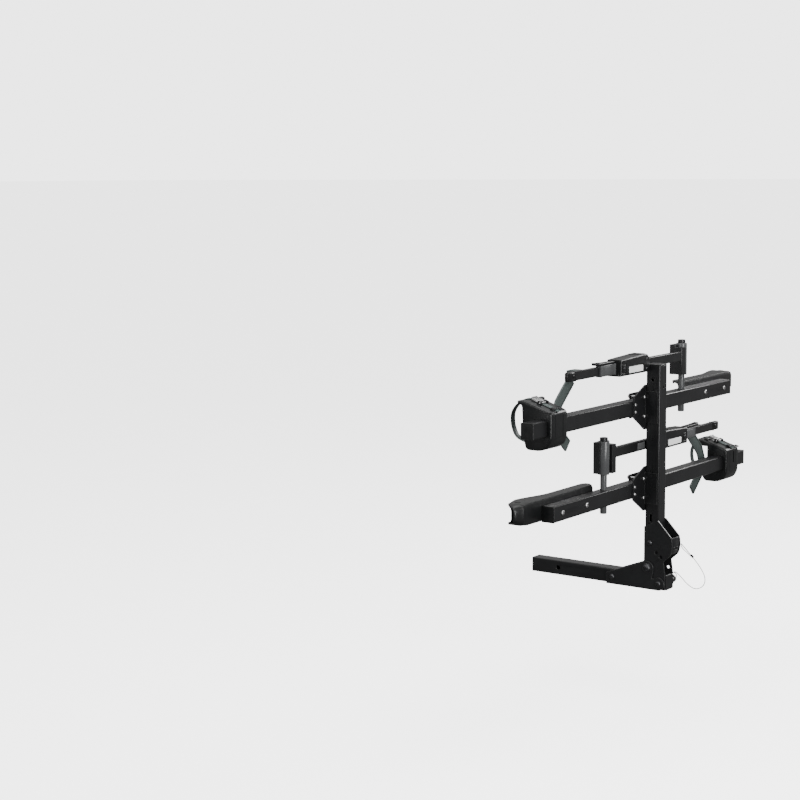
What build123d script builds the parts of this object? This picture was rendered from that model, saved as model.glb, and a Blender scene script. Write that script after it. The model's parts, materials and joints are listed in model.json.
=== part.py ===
from build123d import *
import os
from math import cos, pi, radians, sin

# Hitch mounted platform rack for two bikes, folded upright against the vehicle.
# Origin: centre of the hitch-pin bore. +X to the vehicle's right, +Y towards the vehicle, +Z up.

# --- driving dimensions, mm ---------------------------------------------------------------
BAR = 50.0                 # outside of the square hitch bar, for a 2-inch receiver
BAR_WALL = 4.8
BAR_FRONT = 105.0          # end of the bar inside the receiver
MAST_Y = -361.0            # mast axis behind the hitch pin
BAR_REAR = MAST_Y - 52.0
HITCH_PIN_R = 8.1

MAST = 50.8                # outside of the square mast
MAST_WALL = 3.2
MAST_TOP = 722.0
PLATE = 5.0                # foot plates and ears
FOLD_GAP = 0.4             # between foot plates and the parts beside them

PIVOT_Y = MAST_Y + 11.0
PIVOT_Z = 44.6
PIVOT_R = 8.0
RUNNING = 0.05             # radial running clearance
EAR_R = 24.0               # rounded end of an ear

LOCK_Y = MAST_Y - 31.0     # lock pin, in the right ear
LOCK_Z = -4.0
LOCK_R = 6.0
LOCK_ANGLES = (0.0, 90.0, 110.0)   # stowed, in use, tilted away from the tailgate
LOCK_BOSS = 14.0
LOCK_TRAVEL = 14.0

FOOT_BOLT = (MAST_Y + 4.6, 130.0)
EAR_BOLT = (MAST_Y + 142.0, -2.0)
EYE = (MAST_Y - 73.0, 128.0)   # lanyard eye on the right foot plate

TRAY_DEPTH = 44.0          # along Y
TRAY_HEIGHT = 50.8         # along Z
TRAY_WALL = 2.5
TRAY_Y0 = 30.0             # face of the tray nearest the mast, from the mast axis
POST_Y = TRAY_Y0 + TRAY_DEPTH / 2
CRADLE_END = -342.0        # tray ends, from the arm post
BASKET_END = 995.0
CAP = 3.0
CRADLE_Z = (-27.0, 48.0)   # the cradle stands higher above the tray's middle than below it
CRADLE_WALL = 6.0

POST_R = 11.0
SLEEVE_R = 18.5
SLEEVE = (76.0, 184.0)     # heights above the tray centre
ARM_W = 143.0              # centre of the arm above the tray centre
ARM_Y = 40.0               # centre of the arm from the mast axis
ARM_TUBE = (18.0, 32.0)    # Y, Z
ARM_WALL = 1.5
ARM_ROOT = 20.0            # inner end of the arm tube
BRACKET_END = 42.0
HOUSING = (306.0, 500.0)   # along the arm, from the post
COLLAR_END = 595.0
HOOK_BAR = (330.0, 746.0)
TIP_END = 786.0
HOOK_Y = 88.0
HOOK_STRIP = (42.0, 4.0)   # width, thickness

BASKET = (819.0, 916.0)    # along the tray, from the post
SLIDE_GAP = 0.4            # basket on tray

# One set of tray parts is modelled with the arm pointing to +X, then placed twice.
# side: name, X of the arm post, Z of the tray centre, mirrored
SIDES = (("upper", 276.0, 585.1, True), ("lower", -256.0, 313.1, False))

os.makedirs("parts", exist_ok=True)


# --- small helpers that add a primitive between two limits --------------------------------
def block(x0, x1, y0, y1, z0, z1, mode=Mode.ADD):
    with Locations(((x0 + x1) / 2, (y0 + y1) / 2, (z0 + z1) / 2)):
        Box(abs(x1 - x0), abs(y1 - y0), abs(z1 - z0), mode=mode)


def rod_x(radius, x0, x1, y, z, mode=Mode.ADD):
    with Locations(((x0 + x1) / 2, y, z)):
        Cylinder(radius, abs(x1 - x0), rotation=(0, 90, 0), mode=mode)


def rod_y(radius, x, y0, y1, z, mode=Mode.ADD):
    with Locations((x, (y0 + y1) / 2, z)):
        Cylinder(radius, abs(y1 - y0), rotation=(90, 0, 0), mode=mode)


def rod_z(radius, x, y, z0, z1, mode=Mode.ADD):
    with Locations((x, y, (z0 + z1) / 2)):
        Cylinder(radius, abs(z1 - z0), mode=mode)


def about_pivot(y, z, degrees_back):
    """Where a point fixed to the bar lies on the mast that is folded back by an angle."""
    a = radians(-degrees_back)
    dy, dz = y - PIVOT_Y, z - PIVOT_Z
    return PIVOT_Y + dy * cos(a) - dz * sin(a), PIVOT_Z + dy * sin(a) + dz * cos(a)


# --- hitch bar and ears --------------------------------------------------------------------
half = BAR / 2
with BuildPart() as hitch_bar:
    block(-half, half, BAR_REAR, BAR_FRONT, -half, half)
    fillet(hitch_bar.edges().filter_by(Axis.Y), 5)
    inner = half - BAR_WALL
    block(-inner, inner, BAR_REAR, BAR_FRONT, -inner, inner, Mode.SUBTRACT)
    rod_x(HITCH_PIN_R, -half, half, 0, 0, Mode.SUBTRACT)
    rod_x(5.2, -half, half, *EAR_BOLT, Mode.SUBTRACT)
    rod_x(LOCK_R + 0.4, 0, half, LOCK_Y, LOCK_Z, Mode.SUBTRACT)
hitch_bar.part.label = "hitch_bar"
export_step(hitch_bar.part, "parts/hitch_bar.step")

with BuildPart() as bar_end_cap:
    block(-half, half, BAR_REAR - CAP, BAR_REAR, -half, half)
    fillet(bar_end_cap.edges().filter_by(Axis.Y), 5)
    fillet(bar_end_cap.faces().sort_by(Axis.Y)[0].edges(), 1.2)
    plug = inner - 0.2
    block(-plug, plug, BAR_REAR, BAR_REAR + 12, -plug, plug)
    block(-plug + 3, plug - 3, BAR_REAR, BAR_REAR + 12, -plug + 3, plug - 3, Mode.SUBTRACT)
bar_end_cap.part.label = "bar_end_cap"
export_step(bar_end_cap.part, "parts/bar_end_cap.step")

foot_in = MAST / 2
foot_out = foot_in + PLATE
ear_in = foot_out + FOLD_GAP
ear_out = ear_in + PLATE
EAR_FRONT = MAST_Y + 165.0
EAR_BOTTOM = -26.0
LOCK_END_R = LOCK_Z - EAR_BOTTOM

for name, side in (("ear_left", -1), ("ear_right", 1)):
    with BuildPart() as ear:
        with BuildSketch(Plane.YZ.offset(ear_in if side > 0 else -ear_out)):
            with BuildLine():
                CenterArc((PIVOT_Y, PIVOT_Z), EAR_R, 0, 360)
                Polyline((EAR_FRONT, 12), (EAR_FRONT, EAR_BOTTOM), (MAST_Y, EAR_BOTTOM))
            make_hull()
            with Locations(((LOCK_Y + EAR_FRONT) / 2, (EAR_BOTTOM + 12) / 2)):
                Rectangle(EAR_FRONT - LOCK_Y, 12 - EAR_BOTTOM)
            with Locations((LOCK_Y, LOCK_Z)):
                Circle(LOCK_END_R)
        extrude(amount=PLATE)
        near, far = (ear_in, ear_out) if side > 0 else (-ear_out, -ear_in)
        if side > 0:
            rod_x(LOCK_R + 7, far, far + LOCK_BOSS, LOCK_Y, LOCK_Z)
            rod_x(LOCK_R + RUNNING, near, far + LOCK_BOSS, LOCK_Y, LOCK_Z, Mode.SUBTRACT)
        else:
            rod_x(7.0, near, far, LOCK_Y, LOCK_Z, Mode.SUBTRACT)
        rod_x(PIVOT_R, near, far, PIVOT_Y, PIVOT_Z, Mode.SUBTRACT)
        rod_x(5.2, near, far, *EAR_BOLT, Mode.SUBTRACT)
        if side < 0:
            chamfer(ear.faces().sort_by(Axis.X)[0].outer_wire().edges(), 0.8)
    ear.part.label = name
    export_step(ear.part, f"parts/{name}.step")

with BuildPart() as ear_spacers:
    for side in (-1, 1):
        block(side * half, side * ear_in, EAR_FRONT - 46, EAR_FRONT, EAR_BOTTOM + 1, 12)
    rod_x(5.2, -ear_in, ear_in, *EAR_BOLT, Mode.SUBTRACT)
ear_spacers.part.label = "ear_spacers"
export_step(ear_spacers.part, "parts/ear_spacers.step")

with BuildPart() as ear_bolts:
    rod_x(5.0, -ear_out, ear_out, *EAR_BOLT)
    rod_x(9.0, -ear_out - 5, -ear_out, *EAR_BOLT)
    rod_x(8.5, ear_out, ear_out + 7, *EAR_BOLT)
    rod_x(6.9, -ear_out, -ear_in, LOCK_Y, LOCK_Z)
    rod_x(10.0, -ear_out - 4, -ear_out, LOCK_Y, LOCK_Z)
    fillet(ear_bolts.faces().filter_by(Axis.X).sort_by(Axis.X)[:2].edges(), 2)
ear_bolts.part.label = "ear_bolts"
export_step(ear_bolts.part, "parts/ear_bolts.step")

with BuildPart() as pivot_bolt:
    rod_x(PIVOT_R, -ear_out, ear_out, PIVOT_Y, PIVOT_Z)
    rod_x(17.0, -ear_out - 2, -ear_out, PIVOT_Y, PIVOT_Z)
    rod_x(13.0, -ear_out - 8, -ear_out - 2, PIVOT_Y, PIVOT_Z)
    rod_x(17.0, ear_out, ear_out + 2, PIVOT_Y, PIVOT_Z)
    rod_x(12.5, ear_out + 2, ear_out + 12, PIVOT_Y, PIVOT_Z)
    fillet(pivot_bolt.faces().sort_by(Axis.X)[0].edges(), 2.5)
pivot_bolt.part.label = "pivot_bolt"
export_step(pivot_bolt.part, "parts/pivot_bolt.step")

# --- lock pin, drawn back so that the mast is free to fold ---------------------------------
pin_tip = ear_in + 0.4
knob = ear_out + LOCK_BOSS + LOCK_TRAVEL + 2
RING_R = 9.0
RING_WIRE = 1.3
eye_x = knob + 13.5
with BuildPart() as lock_pin:
    rod_x(LOCK_R, pin_tip, knob, LOCK_Y, LOCK_Z)
    chamfer(lock_pin.faces().sort_by(Axis.X)[0].edges(), 0.8)
    rod_x(13.0, knob, knob + 7, LOCK_Y, LOCK_Z)
    fillet(lock_pin.faces().sort_by(Axis.X)[-1].edges(), 2)
    block(knob + 7, knob + 18, LOCK_Y - 2, LOCK_Y + 2, LOCK_Z - 5, LOCK_Z + 5)
    rod_y(2.4, eye_x, LOCK_Y - 3, LOCK_Y + 3, LOCK_Z, Mode.SUBTRACT)
lock_pin.part.label = "lock_pin"
export_step(lock_pin.part, "parts/lock_pin.step")

ring_z = LOCK_Z + RING_R
with BuildPart() as pin_ring:
    with Locations(Location((eye_x, LOCK_Y, ring_z), (0, 90, 0))):
        Torus(RING_R, RING_WIRE)
pin_ring.part.label = "pin_ring"
export_step(pin_ring.part, "parts/pin_ring.step")

# --- mast ------------------------------------------------------------------------------------
m = MAST / 2
with BuildPart() as mast_tube:
    block(-m, m, MAST_Y - m, MAST_Y + m, 105, MAST_TOP)
    fillet(mast_tube.edges().filter_by(Axis.Z), 5)
    wall = m - MAST_WALL
    block(-wall, wall, MAST_Y - wall, MAST_Y + wall, 105, MAST_TOP, Mode.SUBTRACT)
    # the slanted foot clears the end of the hitch bar when the mast is tilted right back
    with BuildSketch(Plane.YZ.offset(-m)):
        with BuildLine():
            Polyline((MAST_Y - m - 1, 104), (MAST_Y - m - 1, 132), (MAST_Y + m + 1, 112.5),
                     (MAST_Y + m + 1, 104), close=True)
        make_face()
    extrude(amount=MAST, mode=Mode.SUBTRACT)
    rod_x(5.2, -m, m, *FOOT_BOLT, Mode.SUBTRACT)
    rod_x(4.5, -m, 0, MAST_Y + 2, 674, Mode.SUBTRACT)
    rod_y(4.0, 0, MAST_Y - m, MAST_Y, 649, Mode.SUBTRACT)
    for end in (205, 222):
        rod_x(4.5, -m, 0, MAST_Y + 4, end, Mode.SUBTRACT)
    block(-m, 0, MAST_Y - 0.5, MAST_Y + 8.5, 205, 222, Mode.SUBTRACT)
mast_tube.part.label = "mast_tube"
export_step(mast_tube.part, "parts/mast_tube.step")

with BuildPart() as mast_cap:
    block(-m, m, MAST_Y - m, MAST_Y + m, MAST_TOP, MAST_TOP + 4)
    fillet(mast_cap.edges().filter_by(Axis.Z), 5)
    fillet(mast_cap.faces().sort_by(Axis.Z)[-1].edges(), 1.5)
    plug = wall - 0.2
    block(-plug, plug, MAST_Y - plug, MAST_Y + plug, MAST_TOP - 18, MAST_TOP)
    block(-plug + 3, plug - 3, MAST_Y - plug + 3, MAST_Y + plug - 3,
          MAST_TOP - 18, MAST_TOP, Mode.SUBTRACT)
mast_cap.part.label = "mast_cap"
export_step(mast_cap.part, "parts/mast_cap.step")

BULGE_R = 84.0
arc_top, arc_mid, arc_low = (
    (FOOT_BOLT[0] + BULGE_R * cos(radians(a)), FOOT_BOLT[1] + BULGE_R * sin(radians(a)))
    for a in (162, 184, 206)
)
for name, side in (("foot_plate_left", -1), ("foot_plate_right", 1)):
    with BuildPart() as foot:
        with BuildSketch(Plane.YZ.offset(foot_in if side > 0 else -foot_out)):
            with BuildLine():
                Polyline((MAST_Y + m, 64), (MAST_Y + m, 184), (MAST_Y - m, 209), arc_top)
                ThreePointArc(arc_top, arc_mid, arc_low)
                Polyline(arc_low, (MAST_Y - 47, 72), (MAST_Y - 53, 30), (MAST_Y - 53, -24),
                         (MAST_Y + 2, -24), (MAST_Y + 22, 10), (MAST_Y + m, 64))
            make_face()
        extrude(amount=PLATE)
        near, far = (foot_in, foot_out) if side > 0 else (-foot_out, -foot_in)
        for angle in LOCK_ANGLES:
            rod_x(LOCK_R + 0.4, near, far, *about_pivot(LOCK_Y, LOCK_Z, angle), Mode.SUBTRACT)
        rod_x(PIVOT_R + RUNNING, near, far, PIVOT_Y, PIVOT_Z, Mode.SUBTRACT)
        rod_x(5.2, near, far, *FOOT_BOLT, Mode.SUBTRACT)
        if side > 0:
            rod_x(5.0, near, far, MAST_Y - 36, 44, Mode.SUBTRACT)
            rod_x(2.6, near, far, *EYE, Mode.SUBTRACT)
    foot.part.label = name
    export_step(foot.part, f"parts/{name}.step")

with BuildPart() as foot_web:
    with BuildSketch(Plane.YZ.offset(-foot_in)):
        with BuildLine():
            outer, inner_r = BULGE_R - 1, BULGE_R - 6
            sector = [
                [(FOOT_BOLT[0] + r * cos(radians(a)), FOOT_BOLT[1] + r * sin(radians(a)))
                 for a in (164, 184, 203)]
                for r in (outer, inner_r)
            ]
            ThreePointArc(*sector[0])
            ThreePointArc(*sector[1])
            Line(sector[0][0], sector[1][0])
            Line(sector[0][2], sector[1][2])
        make_face()
    extrude(amount=2 * foot_in)
    rod_y(4.0, 4, FOOT_BOLT[0] - BULGE_R - 5, FOOT_BOLT[0] - BULGE_R + 20, 116, Mode.SUBTRACT)
foot_web.part.label = "foot_web"
export_step(foot_web.part, "parts/foot_web.step")

with BuildPart() as foot_bolts:
    rod_x(5.0, -foot_out, foot_out, *FOOT_BOLT)
    for x0, x1 in ((-foot_out - 5, -foot_out), (foot_out, foot_out + 6)):
        rod_x(9.5, x0, x1, *FOOT_BOLT)
    fillet(foot_bolts.faces().sort_by(Axis.X)[0].edges(), 2.2)
foot_bolts.part.label = "foot_bolts"
export_step(foot_bolts.part, "parts/foot_bolts.step")

with BuildPart() as pivot_bush:
    rod_x(12.0, -foot_in, foot_in, PIVOT_Y, PIVOT_Z)
    rod_x(PIVOT_R + RUNNING, -foot_in, foot_in, PIVOT_Y, PIVOT_Z, Mode.SUBTRACT)
pivot_bush.part.label = "pivot_bush"
export_step(pivot_bush.part, "parts/pivot_bush.step")

# --- lanyard: wire rope from the eye on the right foot plate to the ring of the lock pin ------
with BuildPart() as lanyard_eye:
    rod_x(2.5, foot_in, foot_out + 2, *EYE)
    rod_x(4.5, foot_out, foot_out + 1.4, *EYE)
    with Locations((foot_out + 3.4, *EYE)):
        Torus(2.2, 0.8, rotation=(90, 0, 0))
lanyard_eye.part.label = "lanyard_eye"
export_step(lanyard_eye.part, "parts/lanyard_eye.step")

CABLE_D = 2.4
CABLE = [
    (38.2, MAST_Y - 77.0, 126.0),
    (38.3, MAST_Y - 104.0, 101.0),
    (39.0, MAST_Y - 146.0, 58.5),
    (39.5, MAST_Y - 168.0, 22.0),
    (40.0, MAST_Y - 162.0, -8.0),
    (41.0, MAST_Y - 131.0, -24.5),
    (45.5, MAST_Y - 99.0, -12.0),
    (53.0, MAST_Y - 71.0, 9.0),
    (65.0, MAST_Y - 47.0, 20.0),
    (79.3, MAST_Y - 32.0, 16.8),
]


def bend_radii(points):
    """Each corner's arc is as large as its two runs allow."""
    radii = []
    for a, b, c in zip(points, points[1:], points[2:]):
        before, after = Vector(*b) - Vector(*a), Vector(*c) - Vector(*b)
        turn = radians(before.get_angle(after))
        half_tangent = sin(turn / 2) / cos(turn / 2)
        radii.append(0.45 * min(before.length, after.length) / half_tangent)
    return radii


cable_radii = bend_radii(CABLE)
print("lanyard arc radii", [round(r, 1) for r in cable_radii])
with BuildPart() as lanyard_cable:
    with BuildLine() as cable_line:
        FilletPolyline(*CABLE, radius=cable_radii)
    cable_path = cable_line.wires()[0]
    with BuildSketch(Plane(CABLE[0], z_dir=cable_path % 0)):
        Circle(CABLE_D / 2)
    sweep(path=cable_path)
lanyard_cable.part.label = "lanyard_cable"
export_step(lanyard_cable.part, "parts/lanyard_cable.step")
print("lanyard length", round(cable_path.length, 1),
      "volume ratio", lanyard_cable.part.volume / (pi * (CABLE_D / 2) ** 2 * cable_path.length))

# the ferrule sits on the straight run below the eye
along = (Vector(*CABLE[2]) - Vector(*CABLE[1])).normalized()
with BuildPart() as lanyard_ferrule:
    with BuildSketch(Plane(Vector(*CABLE[1]) + along * 24, x_dir=(0, 1, 1), z_dir=along)):
        SlotOverall(8.4, 5.6)
        Circle(CABLE_D / 2 + RUNNING, mode=Mode.SUBTRACT)
    extrude(amount=9)
lanyard_ferrule.part.label = "lanyard_ferrule"
export_step(lanyard_ferrule.part, "parts/lanyard_ferrule.step")

# --- tray clamps ------------------------------------------------------------------------------
SADDLE = 3.0               # cheeks on the mast
plate_front = MAST_Y + m
plate_back = MAST_Y + TRAY_Y0
CLAMP_BOLT = (36.0, 32.0)  # X, Z from the mast axis and the tray centre
TRAY_BOLT = (96.0, 12.0)
CLAMP_OUTLINE = ((30, 72), (70, 54), (106, 38), (106, -30), (70, -52), (34, -76))
for side, post_x, level, mirrored in SIDES:
    with BuildPart() as clamp_plate:
        with BuildSketch(Plane.XZ.offset(-plate_front)):
            with BuildLine():
                right = [(x, level + z) for x, z in CLAMP_OUTLINE]
                left = [(-x, level + z) for x, z in reversed(CLAMP_OUTLINE)]
                Polyline(*right, *left, close=True)
            make_face()
        extrude(amount=-(plate_back - plate_front))
        fillet(clamp_plate.edges().filter_by(Axis.Y), 9)
        for s in (-1, 1):
            block(s * m, s * (m + SADDLE), MAST_Y - 20, plate_front, level - 52, level + 52)
            for z in (-CLAMP_BOLT[1], CLAMP_BOLT[1]):
                rod_y(4.2, s * CLAMP_BOLT[0], plate_front, plate_back, level + z, Mode.SUBTRACT)
            rod_y(4.2, s * TRAY_BOLT[0], plate_front, plate_back, level + TRAY_BOLT[1], Mode.SUBTRACT)
            rod_y(4.2, s * TRAY_BOLT[0], plate_front, plate_back, level - TRAY_BOLT[1], Mode.SUBTRACT)
    clamp_plate.part.label = f"{side}_clamp_plate"
    export_step(clamp_plate.part, f"parts/{side}_clamp_plate.step")

back_y = MAST_Y + TRAY_Y0 + TRAY_DEPTH
with BuildPart() as clamp_backs:
    for side, post_x, level, mirrored in SIDES:
        block(-46, 46, back_y, back_y + 4, level - 42, level + 42)
        for s in (-1, 1):
            for z in (-CLAMP_BOLT[1], CLAMP_BOLT[1]):
                rod_y(4.2, s * CLAMP_BOLT[0], back_y, back_y + 4, level + z, Mode.SUBTRACT)
clamp_backs.part.label = "clamp_backs"
export_step(clamp_backs.part, "parts/clamp_backs.step")

with BuildPart() as clamp_bolts:
    for side, post_x, level, mirrored in SIDES:
        for s in (-1, 1):
            for z in (-1, 1):
                x, dz = s * CLAMP_BOLT[0], level + z * CLAMP_BOLT[1]
                rod_y(4.0, x, plate_front, back_y + 10, dz)
                rod_y(7.0, x, plate_front - 4.5, plate_front, dz)
                rod_y(7.0, x, back_y + 4, back_y + 10, dz)
                x, dz = s * TRAY_BOLT[0], level + z * TRAY_BOLT[1]
                rod_y(4.0, x, plate_front, plate_back, dz)
                rod_y(6.5, x, plate_front - 4, plate_front, dz)
clamp_bolts.part.label = "clamp_bolts"
export_step(clamp_bolts.part, "parts/clamp_bolts.step")

# --- one tray with its cradle, arm and basket -------------------------------------------------
# Local frame: origin on the arm post's axis at the tray centre; +X along the arm.
y0, y1 = TRAY_Y0, TRAY_Y0 + TRAY_DEPTH
h = TRAY_HEIGHT / 2
CRADLE_BOLTS = (CRADLE_END + 53, CRADLE_END + 199)
tray_set = {}

with BuildPart() as tray:
    block(CRADLE_END + CAP, BASKET_END - CAP, y0, y1, -h, h)
    fillet(tray.edges().filter_by(Axis.X), 5)
    block(CRADLE_END + CAP, BASKET_END - CAP, y0 + TRAY_WALL, y1 - TRAY_WALL,
          -h + TRAY_WALL, h - TRAY_WALL, Mode.SUBTRACT)
    rod_z(POST_R, 0, POST_Y, -h, h, Mode.SUBTRACT)
    for u in CRADLE_BOLTS:
        rod_y(4.2, u, y0, y1, 0, Mode.SUBTRACT)
tray_set["tray"] = tray

with BuildPart() as cradle:
    # a trough that opens away from the tray; its outer end sweeps up into a scoop
    floor, rim = y1, y1 + 36
    with BuildSketch(Plane.XY.offset(CRADLE_Z[0])):
        with BuildLine():
            Polyline((-30, floor), (-30, rim - 8), (-45, rim), (-250, rim))
            Spline((-250, rim), (-330, rim + 14), (-400, rim + 26), (-450, rim + 20),
                   (-462, rim - 6), tangents=((-1, 0), (0.2, -1)))
            Polyline((-462, rim - 6), (-456, floor + 4), (CRADLE_END - 6, floor), (-30, floor))
        make_face()
    extrude(amount=CRADLE_Z[1] - CRADLE_Z[0])
    for low in (CRADLE_Z[0], CRADLE_Z[1] - 12):
        block(-462, -400, floor, floor + 80, low, low + 12, Mode.SUBTRACT)
        with BuildSketch(Plane.XY.offset(low)):
            with BuildLine():
                Polyline((-400, floor), (-400, rim + 26))
                Spline((-400, rim + 26), (-438, rim + 16), (-452, rim - 4),
                       tangents=((-1, 0), (-0.1, -1)))
                Polyline((-452, rim - 4), (-440, floor), (-400, floor))
            make_face()
        extrude(amount=12)
    # the wheel's room, open to +Y and at the inner end
    with BuildSketch(Plane.XY.offset(CRADLE_Z[0] + CRADLE_WALL)):
        with BuildLine():
            Polyline((-29, rim + 60), (-29, floor + 5), (-380, floor + 5))
            Spline((-380, floor + 5), (-430, floor + 16), (-452, rim + 8),
                   tangents=((-1, 0), (-0.3, 1)))
            Polyline((-452, rim + 8), (-452, rim + 60), (-29, rim + 60))
        make_face()
    extrude(amount=CRADLE_Z[1] - CRADLE_Z[0] - 2 * CRADLE_WALL, mode=Mode.SUBTRACT)
    for u in CRADLE_BOLTS:
        rod_y(4.2, u, floor, floor + 5, 0, Mode.SUBTRACT)
tray_set["cradle"] = cradle

with BuildPart() as arm_post:
    rod_z(POST_R, 0, POST_Y, -52, SLEEVE[1] + 0.3)
    chamfer(arm_post.faces().sort_by(Axis.Z)[0].edges(), 1.5)
tray_set["arm_post"] = arm_post

with BuildPart() as arm_sleeve:
    rod_z(SLEEVE_R, 0, POST_Y, *SLEEVE)
    rod_z(POST_R + RUNNING, 0, POST_Y, *SLEEVE, Mode.SUBTRACT)
tray_set["arm_sleeve"] = arm_sleeve

arm_y0, arm_y1 = ARM_Y - ARM_TUBE[0] / 2, ARM_Y + ARM_TUBE[0] / 2
arm_z0, arm_z1 = ARM_W - ARM_TUBE[1] / 2, ARM_W + ARM_TUBE[1] / 2
with BuildPart() as arm_bracket:
    # a back plate round the rear half of the sleeve, and a box that holds the arm's root
    block(-24, BRACKET_END, POST_Y + 2, POST_Y + 25, SLEEVE[0] + 3, SLEEVE[1] - 3)
    block(15, BRACKET_END, arm_y0 - 2, POST_Y + 2, SLEEVE[0] + 3, SLEEVE[1] - 12)
    fillet(arm_bracket.edges().filter_by(Axis.Z).group_by(Axis.X)[-1], 3)
    rod_z(SLEEVE_R, 0, POST_Y, *SLEEVE, Mode.SUBTRACT)
    block(ARM_ROOT, BRACKET_END, arm_y0, arm_y1, arm_z0, arm_z1, Mode.SUBTRACT)
tray_set["arm_bracket"] = arm_bracket

with BuildPart() as arm_tube:
    block(ARM_ROOT, HOUSING[1], arm_y0, arm_y1, arm_z0, arm_z1)
    fillet(arm_tube.edges().filter_by(Axis.X), 2.5)
    block(ARM_ROOT, HOUSING[1], arm_y0 + ARM_WALL, arm_y1 - ARM_WALL,
          arm_z0 + ARM_WALL, arm_z1 - ARM_WALL, Mode.SUBTRACT)
tray_set["arm_tube"] = arm_tube

HOUSING_Y = (8.0, 62.0)
HOUSING_Z = (ARM_W - 25, ARM_W + 29)
with BuildPart() as ratchet_housing:
    with BuildSketch(Plane.XZ.offset(-HOUSING_Y[0])):
        with BuildLine():
            a, b = HOUSING
            Polyline((b, HOUSING_Z[0]), (a + 16, HOUSING_Z[0]))
            Spline((a + 16, HOUSING_Z[0]), (a, ARM_W), (a + 22, ARM_W + 35),
                   tangents=((-1, 0), (1, 0.1)))
            Spline((a + 22, ARM_W + 35), (a + 90, ARM_W + 34), (b, HOUSING_Z[1]),
                   tangents=((1, 0.1), (1, -0.05)))
            Line((b, HOUSING_Z[1]), (b, HOUSING_Z[0]))
        make_face()
    extrude(amount=-(HOUSING_Y[1] - HOUSING_Y[0]))
    fillet(ratchet_housing.faces().filter_by(Axis.Y).edges(), 7)
    block(HOUSING[0] - 1, HOUSING[1] + 1, arm_y0, arm_y1, arm_z0, arm_z1, Mode.SUBTRACT)
tray_set["ratchet_housing"] = ratchet_housing

LABEL = (357.0, 450.0)
with BuildPart() as label_plate:
    block(*LABEL, HOUSING_Y[0] - 1.2, HOUSING_Y[0], ARM_W - 17, ARM_W + 3)
    fillet(label_plate.edges().filter_by(Axis.Y), 4)
tray_set["label_plate"] = label_plate

with BuildPart() as guide_collar:
    block(HOUSING[1], COLLAR_END, arm_y0 - 3, arm_y1 - 2.2, ARM_W - 18, ARM_W + 18)
    fillet(guide_collar.edges().filter_by(Axis.X).group_by(Axis.Y)[0], 3)
    block(HOUSING[1], COLLAR_END, arm_y0 + ARM_WALL, arm_y1,
          arm_z0 + ARM_WALL, arm_z1 - ARM_WALL, Mode.SUBTRACT)
tray_set["guide_collar"] = guide_collar

LEVER_PIVOT = (HOUSING[1] + 6.5, ARM_W + 23.0)
with BuildPart() as release_lever:
    rod_y(4.0, LEVER_PIVOT[0], arm_y0 - 2, arm_y1 + 3, LEVER_PIVOT[1])
    block(LEVER_PIVOT[0], COLLAR_END + 28, arm_y0 - 2, arm_y1 + 3, ARM_W + 19, ARM_W + 26)
    fillet(release_lever.edges().filter_by(Axis.Z).group_by(Axis.X)[-1], 6)
tray_set["release_lever"] = release_lever

bar_gap = 0.3
bar_y0, bar_y1 = arm_y0 + ARM_WALL + bar_gap, arm_y1 - ARM_WALL - bar_gap
bar_z0, bar_z1 = arm_z0 + ARM_WALL + bar_gap, arm_z1 - ARM_WALL - bar_gap
with BuildPart() as hook_bar:
    block(*HOOK_BAR, bar_y0, bar_y1, bar_z0, bar_z1)
    fillet(hook_bar.edges().filter_by(Axis.X), 1.5)
    block(*HOOK_BAR, bar_y0 + 1.5, bar_y1 - 1.5, bar_z0 + 1.5, bar_z1 - 1.5, Mode.SUBTRACT)
tray_set["hook_bar"] = hook_bar

with BuildPart() as bar_tip:
    block(HOOK_BAR[1], TIP_END, bar_y0 - 1, bar_y1 + 1, bar_z0 - 1, bar_z1 + 1)
    fillet(bar_tip.edges().filter_by(Axis.Y).group_by(Axis.X)[-1], 10)
    rod_y(4.5, HOOK_BAR[1] + 8, bar_y0 - 3, bar_y0, ARM_W)
    block(HOOK_BAR[1] - 14, HOOK_BAR[1], bar_y0 + 1.7, bar_y1 - 1.7, bar_z0 + 1.7, bar_z1 - 1.7)
tray_set["bar_tip"] = bar_tip

HOOK_LINE = [(672, 124), (752, 54), (774, 10), (760, -30), (694, -86)]
with BuildPart() as tyre_hook:
    with BuildSketch(Plane.XZ.offset(-HOOK_Y)):
        with BuildLine() as hook_line:
            Polyline(*HOOK_LINE)
        trace(hook_line.line, line_width=HOOK_STRIP[0])
        with Locations((676, 134)):
            Rectangle(46, 40)
    extrude(amount=-HOOK_STRIP[1])
    block(655, 696, bar_y1, HOOK_Y, bar_z0 + 2, bar_z1 - 2)
tray_set["tyre_hook"] = tyre_hook

BASKET_FRONT = (15.0, 49.0)
BASKET_CREST = (108.0, 80.0)
STRAP_U = (BASKET[0] + BASKET[1]) / 2 + 4
slope_deg = Vector(1, 0).get_angle(Vector(*BASKET_CREST) - Vector(*BASKET_FRONT))


def on_slope(along, above):
    """A point (Y, Z) on the basket's sloping top, from its front edge."""
    a = radians(slope_deg)
    return (BASKET_FRONT[0] + along * cos(a) - above * sin(a),
            BASKET_FRONT[1] + along * sin(a) + above * cos(a))


def slope_block(x0, x1, a0, a1, b0, b1):
    """A block whose bottom is parallel to the basket's sloping top."""
    centre = on_slope((a0 + a1) / 2, (b0 + b1) / 2)
    with Locations(Location(((x0 + x1) / 2, *centre), (slope_deg, 0, 0))):
        Box(abs(x1 - x0), a1 - a0, b1 - b0)


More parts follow.
